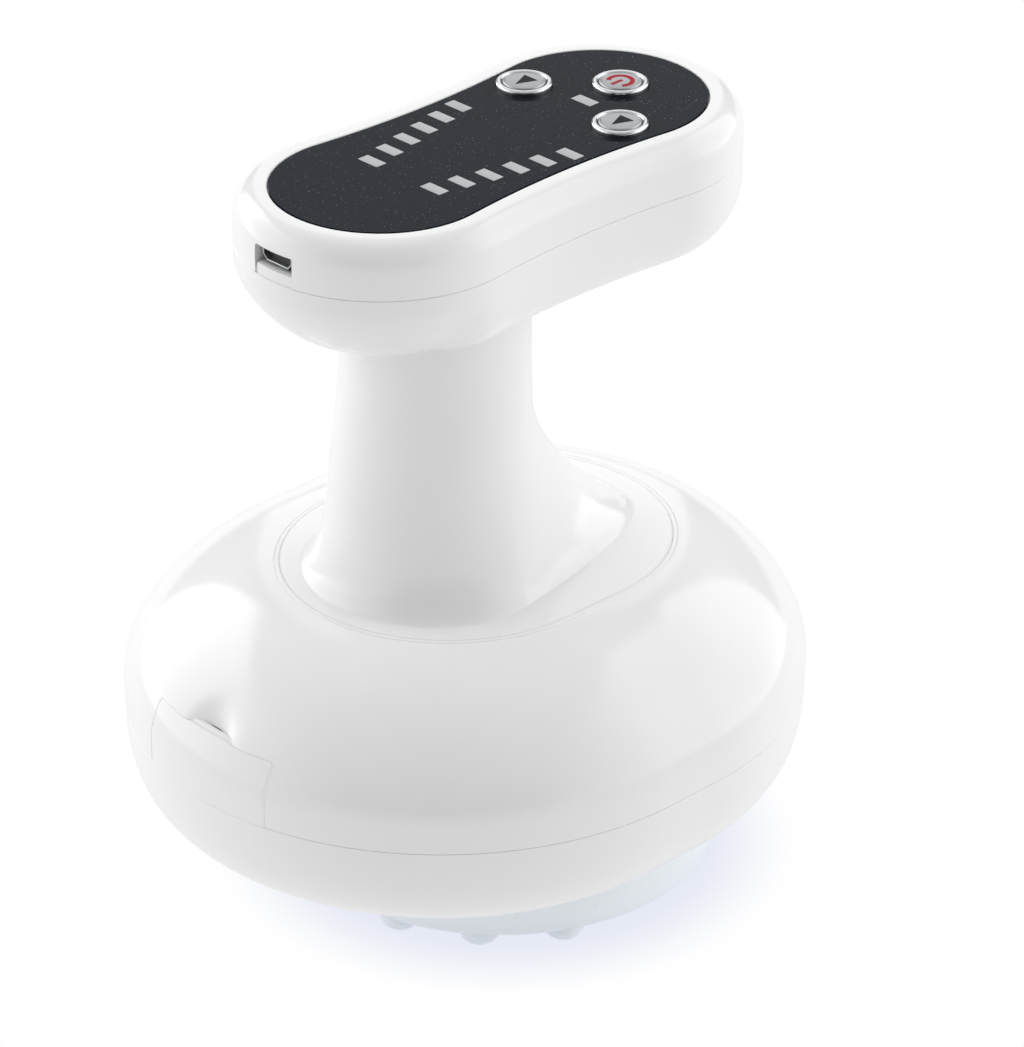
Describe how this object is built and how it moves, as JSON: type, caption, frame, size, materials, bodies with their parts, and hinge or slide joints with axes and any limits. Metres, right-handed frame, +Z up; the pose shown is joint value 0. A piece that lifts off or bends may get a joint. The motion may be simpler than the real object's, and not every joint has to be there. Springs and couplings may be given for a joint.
{
  "type": "electric cupping massager",
  "caption": "Electric cupping massager with a waisted handle and control panel, a flared neck, a round pump housing with a filter door, and a translucent suction cup under it",
  "frame": {"origin": "centre of the bounding box's underside, on the table under the cup's nubs", "axes": "+Z up, +X towards the handle's power button end, -X towards the charging port and the filter door, +Y towards the suction button"},
  "size_m": [0.1302, 0.1188, 0.1487],
  "materials": {
    "white_gloss": "polished injection moulding",
    "panel_black": "smoked glossy panel with a fine speckle",
    "button_metal": "brushed cap",
    "bright_metal": "polished ring",
    "light_bar": "frosted light window",
    "cup_frosted": "pale translucent",
    "grey_plastic": "moulded, fine grain",
    "black_plastic": "moulded, fine grain",
    "rubber_dark": "soft seal rubber",
    "steel_satin": "satin zinc plated",
    "aluminium_plate": "satin anodised",
    "board_green": "solder mask",
    "cell_wrap": "shrink wrap",
    "tube_clear": "clear soft tube",
    "filter_foam": "open foam"
  },
  "bodies": {
    "body": {"handle_upper_shell": "white_gloss", "handle_lower_shell": "white_gloss", "neck_cap": "white_gloss", "bulb_upper_shell": "white_gloss", "bulb_lower_shell": "white_gloss", "control_panel": "panel_black", "power_button_bezel": "bright_metal", "suction_button_bezel": "bright_metal", "heat_button_bezel": "bright_metal", "power_light_guide": "light_bar", "suction_light_guide": "light_bar", "heat_light_guide": "light_bar", "neck_clamp_plate": "grey_plastic", "pump_strap": "grey_plastic", "filter_tray": "grey_plastic", "suction_port": "grey_plastic", "power_switch": "black_plastic", "suction_switch": "black_plastic", "heat_switch": "black_plastic", "pump_head": "black_plastic", "pump_cover": "black_plastic", "release_valve_body": "black_plastic", "neck_cable": "black_plastic", "pump_diaphragm": "rubber_dark", "cup_seal": "rubber_dark", "usb_socket": "steel_satin", "pump_motor": "steel_satin", "handle_screw_1": "steel_satin", "handle_screw_2": "steel_satin", "handle_screw_3": "steel_satin", "handle_screw_4": "steel_satin", "base_screw_1": "steel_satin", "base_screw_2": "steel_satin", "base_screw_3": "steel_satin", "base_screw_4": "steel_satin", "neck_screw_1": "steel_satin", "neck_screw_2": "steel_satin", "neck_screw_3": "steel_satin", "foot_screw_1": "steel_satin", "foot_screw_2": "steel_satin", "foot_screw_3": "steel_satin", "warming_plate": "aluminium_plate", "control_board": "board_green", "power_board": "board_green", "battery_cell": "cell_wrap", "tube_port_to_filter": "tube_clear", "tube_filter_to_pump": "tube_clear", "tube_filter_to_valve": "tube_clear", "filter_pad": "filter_foam"},
    "power_button_cap": {"power_button": "button_metal"},
    "suction_button_cap": {"suction_button": "button_metal"},
    "heat_button_cap": {"heat_button": "button_metal"},
    "door": {"filter_door": "white_gloss"},
    "cup": {"suction_cup": "cup_frosted"},
    "pump_shaft": {"pump_eccentric": "bright_metal"},
    "valve_plunger": {"release_valve_plunger": "steel_satin"}
  },
  "joints": [
    {"name": "power_button_press", "type": "slide", "parent": "body", "child": "power_button_cap", "axis": [0, 0, -1], "range_m": [0, 0.0005], "stiffness_N_per_m": 800, "springref_m": -0.0005},
    {"name": "suction_button_press", "type": "slide", "parent": "body", "child": "suction_button_cap", "axis": [0, 0, -1], "range_m": [0, 0.0005], "stiffness_N_per_m": 800, "springref_m": -0.0005},
    {"name": "heat_button_press", "type": "slide", "parent": "body", "child": "heat_button_cap", "axis": [0, 0, -1], "range_m": [0, 0.0005], "stiffness_N_per_m": 800, "springref_m": -0.0005},
    {"name": "filter_door_pull", "type": "slide", "parent": "body", "child": "door", "axis": [-1, 0, 0], "range_m": [0, 0.025]},
    {"name": "suction_cup_pull", "type": "slide", "parent": "body", "child": "cup", "axis": [0, 0, -1], "range_m": [0, 0.022]},
    {"name": "pump_eccentric_spin", "type": "hinge", "parent": "body", "child": "pump_shaft", "pos_m": [0.002, -0.004, 0.0349], "axis": [0, 1, 0], "continuous": true},
    {"name": "release_valve_plunger_slide", "type": "slide", "parent": "body", "child": "valve_plunger", "axis": [-1, 0, 0], "range_m": [0, 0.0015], "stiffness_N_per_m": 400, "springref_m": -0.001}
  ]
}
